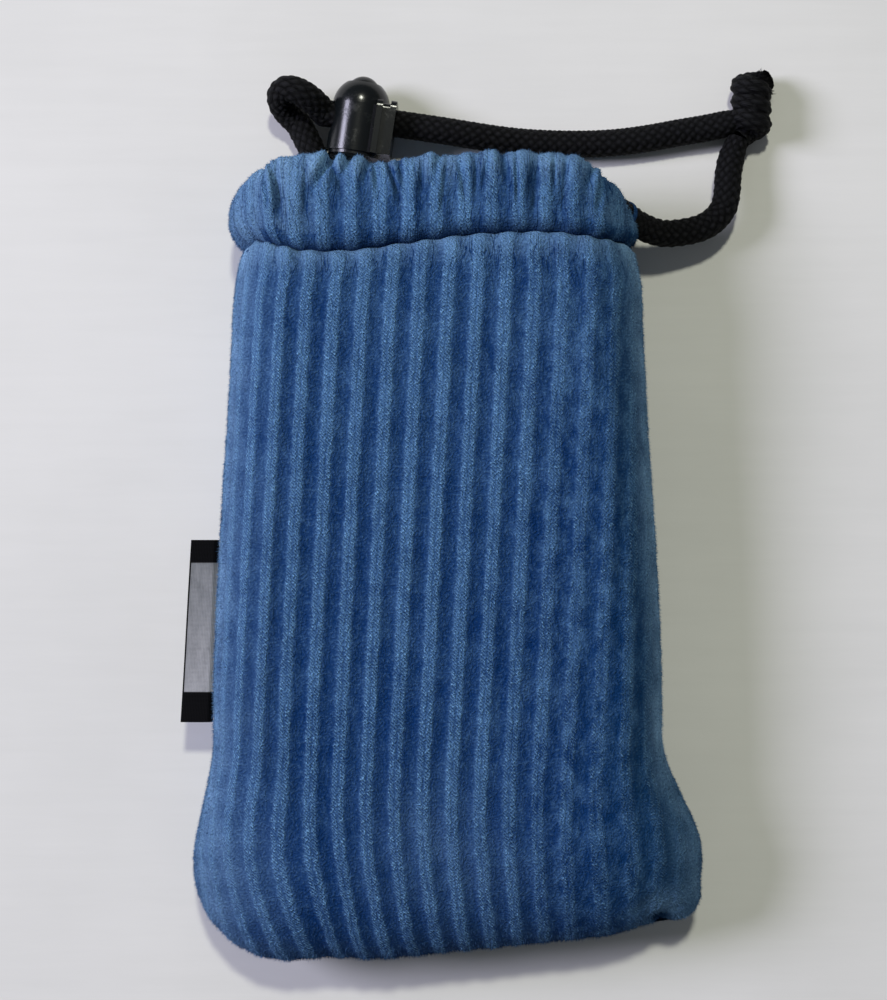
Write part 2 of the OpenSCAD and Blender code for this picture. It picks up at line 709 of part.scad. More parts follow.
panel(front);  // front_panel
panel(back);  // back_panel
padding(front);  // front_padding
padding(back);  // back_padding
pocket_lining(front);  // front_lining
pocket_lining(back);  // back_lining
casing(front);  // front_casing
casing(back);  // back_casing
groove_stitches(front);  // front_casing_stitching
groove_stitches(back);  // back_casing_stitching
side_thread(-1);  // left_seam_thread
side_thread(1);  // right_seam_thread
bottom_thread();  // bottom_seam_thread
tack();  // corner_tack
eyelet(right_eyelet, right_exit_dir);  // right_eyelet_stitching
eyelet(back_eyelet, back_exit_dir);  // back_eyelet_stitching
side_label();
color(black_cord) tube(casing_route, cord_r, cord_sides, -right_exit_dir, back_exit_dir, [0, 1, 0]);  // drawcord_in_casing
color(black_cord) tube(right_route, narrowed(right_route, [2.3, right_end_r]), cord_sides, right_exit_dir,  // drawcord_right_run
        end_dir(right_route), [0, 1, 0]);
color(black_cord) tube(left_route, narrowed(left_route, [2.2, 1.8]), cord_sides, back_exit_dir,  // drawcord_left_run
        end_dir(left_route), [0, 0, 1]);
knot();  // cord_knot
tail_ends();  // cord_tails
housing();  // lock_housing
base();  // lock_base
plunger();  // lock_plunger
spring();  // lock_spring
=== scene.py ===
import math

import bpy
import numpy as np
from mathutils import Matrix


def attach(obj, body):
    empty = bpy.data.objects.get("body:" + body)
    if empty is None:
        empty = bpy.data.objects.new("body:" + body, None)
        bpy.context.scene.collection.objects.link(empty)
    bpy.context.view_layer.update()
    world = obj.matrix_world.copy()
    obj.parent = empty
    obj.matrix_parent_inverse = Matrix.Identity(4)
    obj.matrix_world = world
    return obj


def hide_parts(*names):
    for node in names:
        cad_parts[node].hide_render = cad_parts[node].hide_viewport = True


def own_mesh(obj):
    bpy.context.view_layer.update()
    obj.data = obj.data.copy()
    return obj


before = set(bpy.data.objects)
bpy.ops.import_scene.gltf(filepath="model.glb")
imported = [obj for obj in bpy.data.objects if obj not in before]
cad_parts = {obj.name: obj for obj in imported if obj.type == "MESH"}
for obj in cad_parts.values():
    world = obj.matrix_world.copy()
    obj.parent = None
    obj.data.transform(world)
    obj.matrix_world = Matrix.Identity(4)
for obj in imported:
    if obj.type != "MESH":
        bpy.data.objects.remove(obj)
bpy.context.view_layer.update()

# ---- Front and back cloth ----
# Two cut shapes of wide-ribbed polyester velour, sewn together along both sides and the
# bottom and turned right side out. The filling draws their sides round, and the weight
# presses the back's ribs level where the pouch lies.

MM = 0.001
FRONT, BACK = 1, -1
low_y, groove_y, top_y, seam_z = -75.1, 59.7, 75.1, 11.0
mouth_half, body_half, bottom_half = 37.75, 41.7, 47.8
left_corner_radius, right_corner_radius = 17.0, 4.5
bottom_slant, slant_start, slant_length = 7.7, -29.8, 77.6
taper_length, flare_start, flare_length = 90, 42, 25
rise = {FRONT: 12.5, BACK: 10.7}
crown = 1.0
rib_pitch, rib_height, rib_lean = 5.224, 0.9, 0.0505
cloth_thickness = 1.4
end_round = 19.0


def ease(t):
    """0 to 1, level at both ends."""
    t = np.clip(t, 0, 1)
    return t * t * (3 - 2 * t)


def flare(y):
    """How far the pouch has spread towards its bottom, 0 to 1."""
    return ease((low_y + flare_start - y) / flare_length)


def half_width(y):
    """Narrow at the mouth, wider over the body and widest at the bottom."""
    body = (body_half - mouth_half) * ease((groove_y - y) / taper_length)
    return mouth_half + body + (bottom_half - body_half) * flare(y)


def side_radius(y):
    """Width of the rounded side."""
    return 11 + 13 * flare(y)


def centre_x(y):
    """The middle line, which moves to the right at the bottom."""
    return -1.1 + 2.3 * flare(y)


def level_share(y, side):
    """Share of the cloth's half width that lies level, before it rounds into the side."""
    r = side_radius(y)
    flat = half_width(y) - r
    return flat / (flat + math.pi / 2 * np.sqrt((r**2 + rise[side] ** 2) / 2))


def side_angle(u, y, side):
    """0 on the level part, a quarter turn at the side seam."""
    s = level_share(y, side)
    return math.pi / 2 * np.clip((np.abs(u) - s) / (1 - s), 0, 1)


def across(u, y, depth, side):
    """Distance from the middle line, with u from -1 at the left seam to 1 at the right one."""
    s = level_share(y, side)
    r = side_radius(y)
    flat = half_width(y) - r
    rounded = np.sign(u) * (flat + (r - depth) * np.sin(side_angle(u, y, side)))
    return np.where(np.abs(u) <= s, u / s * flat, rounded)


def pouch_point(u, y, depth, dist, side):
    """Point sunk by depth below the plain surface; dist is from the bottom seam."""
    x = across(u, y, depth, side)
    reach = end_round - depth
    full = np.sqrt(np.clip(1 - np.clip(1 - dist / reach, 0, 1) ** 2, 0, 1))
    up = (rise[side] - depth) * np.cos(side_angle(u, y, side))
    if side == FRONT:
        up = up + crown * (1 - (x / (half_width(y) - depth)) ** 2)
    z = np.maximum(seam_z + side * up * full, 0)
    return np.stack([centre_x(y) + x, y + 0 * x, z], -1)


def corner_rise(x, radius):
    """How far a rounded corner lifts the bottom seam."""
    t = np.clip((x - (bottom_half - radius)) / radius, 0, 1)
    return radius * (1 - np.sqrt(1 - t * t))


def seam_y(u):
    """The bottom seam: slanting up to the right, between two rounded corners."""
    x = across(u, low_y, 0, FRONT)
    slant = bottom_slant * np.maximum(0, (x - slant_start) / slant_length)
    left, right = corner_rise(-x, left_corner_radius), corner_rise(x, right_corner_radius)
    return low_y + slant + np.where(x < 0, left, right)


def groove_at(u):
    """The stitched groove below the cord channel, bowed and a little slanting."""
    return groove_y - 2.6 * u * u + 1.5 * u


def rib_index(u, y, side=FRONT):
    """Counts the ribs from the left. They run straight, lean a little and bend at the bottom."""
    s = level_share(y, side)
    along_cloth = u * (half_width(y) - side_radius(y)) / s
    bend = np.clip((-42 - y) / 32, 0, 1.2) ** 1.8
    middle = -1.2 + rib_lean * y + (5.2 - 0.07 * along_cloth) * bend
    n = 7 + (centre_x(y) + along_cloth - middle) / rib_pitch
    crowded = np.clip((2.6 - n) / 2.6, 0, 1.5) ** 2
    return n - 0.29 * crowded


def ripple(x, y, seed):
    """Smooth irregular waves between -1 and 1, two long ones and two short ones."""
    rng = np.random.default_rng(seed)
    total = 0
    for length in (34.0, 21.0, 11.0, 7.0):
        angle = rng.uniform(0, 2 * math.pi)
        turn = rng.uniform(0, 2 * math.pi)
        wave = (x * math.cos(angle) + y * math.sin(angle)) * 2 * math.pi / length
        total = total + np.sin(wave + turn + 0.8 * np.sin(wave * 0.37 + seed))
    return total / 4


groove_places = (-38, -35, -30, -26, -20, -13, -8, 0, 7, 14, 18, 23, 29, 34, 38)
groove_drops = (
    1.6, 1.8, -0.6, -2.0, -2.7, -2.6, -2.1, -1.4, -0.7, -0.4, -0.3, -0.5, -1.0, -0.9, -0.6
)


def settle(points):
    """Lets the filled cloth sag: the neck draws in, the groove dips, the bottom hangs."""
    x, y = points[..., 0], points[..., 1]
    right, left = ease(x / 34), ease(-x / 34)
    neck = 0.8 * ease((y - 50) / 7) + 0.6 * ease((y - 60) / 4)
    lean = 1.1 * ease((-48 - y) / 14) * ease((x - 32) / 10)
    hip = 0.3 + 0.7 * np.exp(-(((y - 54) / 5) ** 2))
    hip = hip + 0.2 * ease((-25 - y) / 12) - 0.8 * ease((y - 56) / 4)
    hang = 1.4 * ease((x + 24) / 14) * (1 - ease((x - 29) / 13))
    near_groove = np.exp(-(((y - groove_y + 1) / 7) ** 2))
    moved = points.copy()
    moved[..., 0] += left * hip - right * neck - lean
    moved[..., 1] -= hang * ease((-56 - y) / 15)
    moved[..., 1] += np.interp(x, groove_places, groove_drops) * near_groove
    return moved


def rib_shape(n):
    """Height of the ribs, 0 in a valley and 1 on a crest, with crests at whole numbers."""
    phase = (n + 0.5) % 1.0
    return (0.5 - 0.5 * np.cos(2 * math.pi * phase)) ** 0.8


def grid_mesh(name, points, flip=False, closed=False, values=None):
    """Mesh of a grid of points in millimetres, with named values kept at its points."""
    rows, columns = points.shape[:2]
    index = np.arange(rows * columns).reshape(rows, columns)
    right = np.roll(index, -1, 1) if closed else index[:, 1:]
    left = index if closed else index[:, :-1]
    quads = np.stack([left[:-1], right[:-1], right[1:], left[1:]], -1).reshape(-1, 4)
    if flip:
        quads = quads[:, ::-1]
    mesh = bpy.data.meshes.new(name)
    mesh.from_pydata((points.reshape(-1, 3) * MM).tolist(), [], quads.tolist())
    for key, array in (values or {}).items():
        attribute = mesh.attributes.new(key, "FLOAT", "POINT")
        attribute.data.foreach_set("value", np.ascontiguousarray(array, np.float32).ravel())
    mesh.polygons.foreach_set("use_smooth", [True] * len(mesh.polygons))
    return mesh


def piece(name, meshes, material, body="pouch"):
    """One object of one or several meshes, with a material, riding on a body."""
    obj = bpy.data.objects.new(name, meshes[0])
    bpy.context.scene.collection.objects.link(obj)
    if len(meshes) > 1:
        parts = [obj]
        for m in meshes[1:]:
            part = bpy.data.objects.new(name + ".part", m)
            bpy.context.scene.collection.objects.link(part)
            parts.append(part)
        with bpy.context.temp_override(
            active_object=obj, object=obj, selected_editable_objects=parts, selected_objects=parts
        ):
            bpy.ops.object.join()
    obj.data.materials.clear()
    obj.data.materials.append(material)
    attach(obj, body)
    return obj


class Shade:
    """An output of a material's nodes; arithmetic on it adds Math nodes."""

    def __init__(self, tree, socket=None):
        self.tree, self.socket = tree, socket

    def node(self, kind, sockets=None, out=0, **settings):
        """Adds a node with its settings, then its sockets' values or links."""
        n = self.tree.nodes.new(kind)
        for key, value in settings.items():
            setattr(n, key, value)
        for key, value in (sockets or {}).items():
            if isinstance(value, Shade):
                self.tree.links.new(value.socket, n.inputs[key])
            else:
                n.inputs[key].default_value = value
        return Shade(self.tree, n.outputs[out])

    def maths(self, operation, *others):
        """A Math node on this value and up to two others."""
        return self.node("ShaderNodeMath", dict(enumerate((self,) + others)), operation=operation)

    def __add__(self, other):
        return self.maths("ADD", other)

    __radd__ = __add__

    def __sub__(self, other):
        return self.maths("SUBTRACT", other)

    def __rsub__(self, other):
        return self.node("ShaderNodeMath", {0: other, 1: self}, operation="SUBTRACT")

    def __mul__(self, other):
        return self.maths("MULTIPLY", other)

    __rmul__ = __mul__

    def __truediv__(self, other):
        return self.maths("DIVIDE", other)

    def fract(self):
        return self.maths("FRACT")

    def wave(self):
        """0 to 1 and back once for each whole number."""
        return (self * (2 * math.pi)).maths("SINE") * 0.5 + 0.5

    def step(self, low, high):
        """0 below low, 1 above high, smooth between."""
        sockets = {0: self, 1: low, 2: high, 3: 0.0, 4: 1.0}
        return self.node("ShaderNodeMapRange", sockets, interpolation_type="SMOOTHSTEP")

    def band(self, low, high, soft):
        """1 between low and high, 0 outside, over soft edges."""
        return self.step(low - soft, low + soft) * (1 - self.step(high - soft, high + soft))

    def value(self, name):
        """A named value kept at the mesh's points."""
        return self.node("ShaderNodeAttribute", None, 2, attribute_name=name)

    def place(self):
        """Where the point lies on its object, in metres."""
        return self.node("ShaderNodeTexCoord", None, 3)

    def noise(self, size_mm, detail=2.0, rough=0.5, stretch=None):
        """Noise with blobs of a size in millimetres, stretched by three factors if given."""
        place = self.place()
        if stretch:
            factors = {0: place, 1: stretch}
            place = self.node("ShaderNodeVectorMath", factors, operation="MULTIPLY")
        sockets = {"Vector": place, "Scale": 1000 / size_mm, "Detail": detail, "Roughness": rough}
        return self.node("ShaderNodeTexNoise", sockets)

    def mix(self, low, high):
        """Colour from low to high by this value."""
        return self.node("ShaderNodeMix", {0: self, 6: low, 7: high}, 2, data_type="RGBA")

    def bump(self, height_mm, strength=1.0):
        sockets = {"Height": self, "Distance": height_mm * MM, "Strength": strength}
        return self.node("ShaderNodeBump", sockets)


def finish(name, **fixed):
    """New material, its nodes and its shader; fixed gives the shader's uniform values."""
    material = bpy.data.materials.new(name)
    material.use_nodes = True
    shader = material.node_tree.nodes["Principled BSDF"]
    for key, value in fixed.items():
        shader.inputs[key.replace("_", " ")].default_value = value
    return material, Shade(material.node_tree), shader


def feed(shader, **links):
    """Links values to the shader's inputs by name."""
    for key, value in links.items():
        shader.id_data.links.new(value.socket, shader.inputs[key.replace("_", " ")])


# Painted shade on the pile, used where turn is below 0.
painted_shade_blue = (0.002, 0.012, 0.045, 1)
deep_blue = (0.003, 0.025, 0.101, 1)
light_blue = (0.192, 0.41, 0.70, 1)
# Painted sheen and highlight on the pile, used where turn is above 0.
painted_sheen_blue = (0.185, 0.335, 0.52, 1)
sea_blue = (0.010, 0.06, 0.12, 1)


def velour_finish(name, base=0.08, gathers=0.0):
    """Ribbed velour: two columns of slanting knit on each light rib, mottled pile between.

    The cloth's points keep rib, which counts the ribs, run, the height on the pouch in
    millimetres, and turn, which carries painted sheen and highlight (above 0) and painted shade
    (below 0) on the pile.
    """
    material, s, shader = finish(
        name,
        Specular_IOR_Level=0.02,
        Sheen_Weight=0.03,
        Sheen_Roughness=0.4,
        Sheen_Tint=(0.42, 0.66, 1.0, 1),
    )
    grains = s.noise(0.42, 2, 0.6)
    fine = s.noise(0.8, 3, 0.6)
    small = s.noise(2.2, 3, 0.6, (1.0, 0.5, 1.0))
    broad = s.noise(13, 3, 0.55)
    rib, run, turn = s.value("rib"), s.value("run"), s.value("turn")
    # Place across one rib from 0 to 1, unsteady, with the crest in its middle.
    phase = (rib + (s.noise(3.5, 3) - 0.5) * 0.12 + (fine - 0.5) * 0.16 + 0.5).fract()
    halo = phase.band(0.2, 0.71, 0.08)
    # Fine creases along the ribs, only where the cord gathers the cloth: bumped in, and painted
    # darker as shade in the creases.
    pressed = s.node("ShaderNodeCombineXYZ", {0: rib * 5.2, 1: run * 0.16})
    folds = s.node("ShaderNodeTexNoise", {"Vector": pressed, "Scale": 0.62, "Detail": 2.0})
    distance = (folds - 0.5).maths("ABSOLUTE")
    near_top = (gathers + run.step(46, 57)).step(0.0, 1.0)
    crease = (1 - distance.step(0.002, 0.024)) * near_top
    # Two columns of slanting stitches, worn level towards the right.
    columns = phase.band(0.24, 0.42, 0.035) * 0.9 + phase.band(0.48, 0.66, 0.035)
    stitch, slope = 0.62, 0.9
    slanted = (run / stitch + rib * (rib_pitch * slope / stitch) + (fine - 0.5) * 1.3).wave()
    worn = rib.step(8, 13)
    grit = (grains - 0.5) * 2.4
    specks = grains.step(0.5, 0.66)
    knit = halo * 0.15 + columns * (slanted * 0.3 + specks * (0.22 + slanted * 0.4))
    loops = (small - 0.42) * 1.3
    tone = knit * (1 - worn * 0.42) + worn * loops * 0.3 + specks * 0.1 + grit * 0.12
    # run * 0.0011 paints the pile lighter towards the top of the pouch: painted light.
    tone = tone + (broad - 0.5) * 0.24 + (small - 0.5) * 0.4 + run * 0.0011
    # crease * 0.12 is painted shade in the creases.
    tone = tone + base - crease * 0.12 - columns * 0.035
    # Greener at the right; painted sheen and highlight where turn is above 0, less of it in the
    # creases, and painted shade where turn is below 0.
    colour = tone.step(-0.1, 1.25).mix(deep_blue, light_blue)
    colour = (rib.step(11, 17) * 0.35).mix(colour, sea_blue)
    colour = (turn * (0.85 + grit * 0.7) - crease * 0.14).mix(colour, painted_sheen_blue)
    colour = (turn * -1.0).mix(colour, painted_shade_blue)
    height = knit * 0.8 + grains * 1.2 + small * 0.6 - crease * 0.35
    feed(
        shader,
        Base_Color=colour,
        Normal=height.bump(0.5, 0.9),
        Roughness=0.82 + fine * 0.16,
    )
    return material


velour = velour_finish("ribbed_velour")


corner_hole_x, corner_hole_y = 41.9, -67.1
label_top, label_low, label_clearance = 3.1, -31.1, 1.1


def cloth_rows(u, body_rows):
    """Distances from the bottom seam along each column, closer together at its two ends."""
    length = groove_at(u) - seam_y(u)
    bend = end_round * (1 - np.cos(np.linspace(0, math.pi / 2, 30)))[:, None] + 0 * u
    body = end_round + (length - 6 - end_round) * np.linspace(0, 1, body_rows)[1:, None]
    last = length - 6 * (1 - np.sin(np.linspace(0, math.pi / 2, 18)))[1:, None] - 0.12
    last = np.concatenate([last, length + [[0.4], [1.2]] + 0 * u])
    return np.concatenate([bend, body, last]), length


def pile(name, points, outward, share, values, count, seed):
    """Single fibres of the pile on a grid's surface, denser where share is high."""
    rng = np.random.default_rng(seed)
    columns = points.shape[1]
    span = np.linalg.norm(np.diff(points, axis=0)[:, :-1], axis=-1)
    width = np.linalg.norm(np.diff(points, axis=1)[:-1], axis=-1)
    weight = (share[:-1, :-1] * span * width).ravel()
    cells = rng.choice(len(weight), count, p=weight / weight.sum())
    i, k = np.divmod(cells, columns - 1)
    a, b = rng.uniform(0, 1, (2, count, 1))

    def blend(grid):
        g = grid if grid.ndim == 3 else grid[..., None]
        low = g[i, k] * (1 - b) + g[i, k + 1] * b
        return low * (1 - a) + (g[i + 1, k] * (1 - b) + g[i + 1, k + 1] * b) * a

    base = blend(points)
    shortest, longest, half_thick, lowest = 0.2, 0.48, 0.045, 0.02
    lean = blend(outward) + [0, -0.35, 0] + rng.normal(0, 0.35, (count, 3))
    tip = base + lean * rng.uniform(shortest, longest, (count, 1))
    across_it = np.cross(lean, rng.normal(0, 1, (count, 3)))
    across_it *= half_thick / (np.linalg.norm(across_it, axis=1, keepdims=True) + 1e-9)
    tip[:, 2] = np.maximum(tip[:, 2], lowest)
    corners = np.stack([base - across_it, base + across_it, tip], 1).reshape(-1, 3)
    fibres = np.arange(3 * count).reshape(-1, 3)
    mesh = bpy.data.meshes.new(name)
    mesh.from_pydata((corners * MM).tolist(), [], fibres.tolist())
    # The fibres get a little more painted sheen than the cloth under them.
    painted_fibre_sheen = 0.12
    for key, grid in values.items():
        at = blend(np.broadcast_to(grid, points.shape[:2]))[:, 0]
        if key == "turn":
            at = at + painted_fibre_sheen
        attribute = mesh.attributes.new(key, "FLOAT", "POINT")
        attribute.data.foreach_set("value", np.repeat(at, 3).astype(np.float32))
    return mesh


def at_corner_hole(plain):
    """Two soft spots, 1 in their middle: the hole that the tack pulls in, and its surroundings."""
    x, y = plain[..., 0], plain[..., 1]
    hole = np.exp(-(((x - corner_hole_x) / 1.5) ** 2) - ((y - corner_hole_y) / 0.9) ** 2)
    return hole, np.exp(-(((x - 41) / 5) ** 2) - ((y + 65.0) / 3.5) ** 2)


def painted_sheen_and_shade(u, y, turn, gap, side, hole, around_hole):
    """Painted light on the pile: painted sheen where the cloth turns away, a painted highlight on
    the rim that rounds into the groove, painted light over the left side, paler pile round the
    corner hole and in a patch low in the middle, and painted shade in the hole.
    """
    x = across(u, y, 0, side)
    left_edge = 0.5 * ease((turn - 0.5) / 0.8)
    right_edge = (0.95 - 0.5 * flare(y)) * ease((turn - 0.6) / 0.7)
    edges = np.where(u < 0, left_edge, right_edge) * (1 - 0.6 * ease((turn - 1.25) / 0.3))
    # Painted highlight on the rim where the cloth rounds down into the groove.
    painted_light = edges + 0.62 * np.clip(1 - gap / 6, 0, 1) ** 1.3
    painted_light = painted_light + 0.16 * ease((-24 - x) / 16) + 0.45 * around_hole
    painted_light = painted_light + 0.15 * np.exp(-((x / 14) ** 2) - ((y + 54) / 13) ** 2)
    # The hole is painted dark: painted shade.
    return painted_light * (0.85 + 0.5 * ripple(u * 90, y, 14)) - 1.2 * hole


def cloth(name, side):
    """A panel's outer and inner surface, its rim at the mouth and its pile.

    gap is the distance to the groove, and tuck is how far the cloth dives into it.
    """
    u = np.linspace(-1, 1, 331)
    dist, length = cloth_rows(u, 105)
    y = seam_y(u) + dist
    gap = length - dist
    n = rib_index(u, y, side)
    turn = side_angle(u, y, side)
    end = np.arccos(np.clip(1 - dist / end_round, 0, 1))
    outward = np.stack(
        [np.sign(u) * np.sin(turn), -np.cos(turn) * np.cos(end), side * np.cos(turn) * np.sin(end)],
        -1,
    )
    ribs = rib_shape(n + 0.05 * ripple(3 * n, y, 3))
    level = np.cos(turn) ** 0.7 * np.sin(end) ** 0.8
    relief = (0.14 + 0.32 * level) * (1 - 0.35 * ease((n - 8) / 4))
    dents = 0.28 * ripple(u * 40, y, 11) * np.cos(turn) * np.sin(end)
    dents = dents + 0.1 * ripple(u * 160, y * 3, 12)
    tuck = 3.1 * (1 - np.sqrt(1 - np.clip(1 - gap / 4.6, 0, 1) ** 2)) + np.clip(-gap, 0, 2)
    fold_over = 0.3 * (ribs - 0.4) * np.clip(1 - gap / 3, 0, 1) * (gap > 0.2)
    fold_over = fold_over + 0.75 * np.exp(-(((gap - 2.0) / 1.5) ** 2))
    lift = rib_height * (0.5 + (ribs - 0.5) * relief) + dents - tuck
    plain = pouch_point(u, y, 0.0, dist, side)
    hole, around_hole = at_corner_hole(plain)
    if side == FRONT:
        lift = lift - 2.6 * hole + 0.5 * around_hole * ripple(u * 300, y * 7, 8)
    corner = np.exp(-(((u - 0.97) / 0.14) ** 2) - (dist / 8) ** 2) * 0.5
    points = plain + outward * lift[..., None]
    points[..., 1] -= corner
    points = settle(points)
    points[..., 1] += fold_over
    points[0, :, 2] = seam_z
    points[:, [0, -1], 2] = seam_z
    points[..., 2] = np.maximum(points[..., 2], 0)
    inner = settle(pouch_point(u, y + cloth_thickness, cloth_thickness + tuck, dist, side))
    inner[..., 1] = np.minimum(inner[..., 1], points[-1, :, 1] - 0.02)
    rim = np.concatenate([points[-1:], inner[-1:]])
    painted_light = painted_sheen_and_shade(u, y, turn, gap, side, hole, around_hole)
    # turn carries the painted sheen and painted shade onto the cloth, its rim and its pile.
    values = {"rib": n, "run": y, "turn": painted_light}
    rim_values = {"rib": n[[-1, -1]], "run": y[[-1, -1]], "turn": painted_light[[-1, -1]]}
    inner_values = {"rib": n, "run": y, "turn": 0 * n}
    beside_label = (points[..., 0] <= 0) & (np.abs(points[..., 2] - seam_z) <= 1.5)
    beside_label &= (y <= label_top + label_clearance) & (y >= label_low - label_clearance)
    fuzz = 0.12 + 4 * np.sin(turn) ** 6 + 4 * np.cos(end) ** 6
    fuzz = fuzz * ~beside_label * (gap > 2)
    back = side == BACK
    return [
        grid_mesh(name, points, back, values=values),
        grid_mesh(name + "_inside", inner, not back, values=inner_values),
        grid_mesh(name + "_rim", rim, back, values=rim_values),
        pile(name + "_pile", points, outward, fuzz, values, count=30000, seed=21 + side),
    ]


front_cloth = piece("front_cloth", cloth("front_cloth", FRONT), velour)
back_cloth = piece("back_cloth", cloth("back_cloth", BACK), velour)
for cover, node in ((front_cloth, "front_panel"), (back_cloth, "back_panel")):
    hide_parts(node)

# ---- Foam padding ----
# A thin sheet of soft foam behind each panel. It is cut short of the seams and held by
# the cloth in front and the lining behind.


def layer(name, u, depth, thickness, side, first, end_gap):
    """Closed sheet under the cloth, end_gap short of the groove.

    first is the angle round the bottom at which the sheet starts.
    """
    sheets = []
    for d in (depth, depth + thickness):
        start = seam_y(u) + d
        length = groove_at(u) - start
        reach = end_round - d
        bend = reach * (1 - np.cos(np.linspace(first, math.pi / 2, 9)))[:, None] + 0 * u
        body = reach + (length - end_gap - reach) * np.linspace(0, 1, 20)[1:, None]
        dist = np.concatenate([bend, body])
        dip = 1.6 * np.clip(1 - (length - dist) / 5.5, 0, 1) ** 2
        sheets.append(pouch_point(u, start + dist, d + dip, dist, side))
    outer, inner = sheets
    points = np.concatenate([outer, inner[::-1], outer[:1]])
    across_values = np.broadcast_to(u, points.shape[:2])
    return grid_mesh(name, points, side == BACK, values={"rib": across_values})


foam, s, shader = finish("open_cell_foam", Roughness=1.0, Specular_IOR_Level=0.1)
cells = s.node("ShaderNodeTexVoronoi", {"Vector": s.place(), "Scale": 1400.0})
feed(
    shader,
    Base_Color=cells.step(0.1, 0.6).mix((0.09, 0.1, 0.11, 1), (0.32, 0.34, 0.37, 1)),
    Normal=cells.bump(0.3),
)
foam_depth, foam_thickness = 1.6, 2.0
foam_places = np.linspace(-0.93, 0.93, 61)
for side, name, node in (
    (FRONT, "front_foam", "front_padding"),
    (BACK, "back_foam", "back_padding"),
):
    sheet = layer(name, foam_places, foam_depth, foam_thickness, side, first=0.42, end_gap=2.75)
    pad = piece(name, [sheet], foam)
    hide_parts(node)

# ---- Lining ----
# A bag of plain-woven dark polyester, sewn into the same seams. It is what shows through
# the mouth.

lining, s, shader = finish("lining_weave", Roughness=0.7, Sheen_Weight=0.25)
place = s.place()
threads_per_metre = 2600.0
warp, weft = (s.node("ShaderNodeSeparateXYZ", {0: place}, k) * threads_per_metre for k in (0, 1))
weave = warp.wave() * weft.wave() + (1 - warp.wave()) * (1 - weft.wave())
shade = weave * 0.7 + s.noise(6) * 0.3
feed(
    shader,
    Base_Color=shade.mix((0.008, 0.012, 0.025, 1), (0.035, 0.05, 0.095, 1)),
    Normal=weave.bump(0.08),
)
lining_depth, lining_thickness = 3.8, 0.5
lining_places = np.linspace(-1, 1, 81)
for side, name, node in (
    (FRONT, "front_lining_bag", "front_lining"),
    (BACK, "back_lining_bag", "back_lining"),
):
    sheet = layer(name, lining_places, lining_depth, lining_thickness, side, first=0.0, end_gap=0.5)
    bag = piece(name, [sheet], lining)
    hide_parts(node)

# ---- Cord channel ----
# The panels' upper ends, rolled inwards over the cord and stitched down in a groove. The
# cord gathers them, so the ribs crowd, lean outwards at the corners and pinch into folds.

channel_thickness = 8.5
channel_pinches = (
    (-20.6, 0.55, 1.5),
    (-17.2, 0.3, 0.9),
    (-13.4, 0.25, 0.7),
    (-0.8, 0.2, 0.6),
    (11.5, -0.2, 0.5),
)


def top_at(u, side):
    """The channel's upper edge, rounded down at both ends."""
    x = across(u, groove_y, 0, side)
    left = 1 - np.sqrt(1 - np.clip((-x - 21.75) / 16.2, 0, 1) ** 2)
    right = 1 - np.sqrt(1 - np.clip((x - 20.5) / 17.4, 0, 1) ** 2)
    dip = 1.4 * np.exp(-(((x + 9.5) / 9) ** 2))
    lower = 3.6 * (1 - u * u) if side == BACK else 0
    return top_y - 1.0 - dip - lower - 7.4 * left - 10.0 * right


def power(v, p):
    """A power that keeps its value's sign."""
    return np.sign(v) * np.abs(v) ** p


def fold_depth(x, y):
    """How deep the channel's folds go: a few deep ones and many small ones."""
    depth = 0
    for at, lean, deep in channel_pinches:
        off = x - at - lean * (y - 72)
        depth = depth + deep * np.exp(-((off / 0.75) ** 2)) * ease((y - 65.5) / 6)
        depth = depth - 0.7 * deep * np.exp(-(((off + 1.9) / 1.5) ** 2)) * ease((y - 67) / 6)
    rng = np.random.default_rng(17)
    for at in np.linspace(-33, 33, 23):
        at, slope = at + rng.normal(0, 1.2), rng.normal(0, 0.12)
        deep, wide = rng.uniform(0.35, 1.0), rng.uniform(0.35, 0.7)
        off = x - at - (slope + at * 0.006) * (y - 68)
        reach = ease((y - rng.uniform(61, 68)) / 4) * (1 - 0.7 * ease((y - 70.5) / 3))
        depth = depth + deep * np.exp(-((off / wide) ** 2)) * reach
    return depth


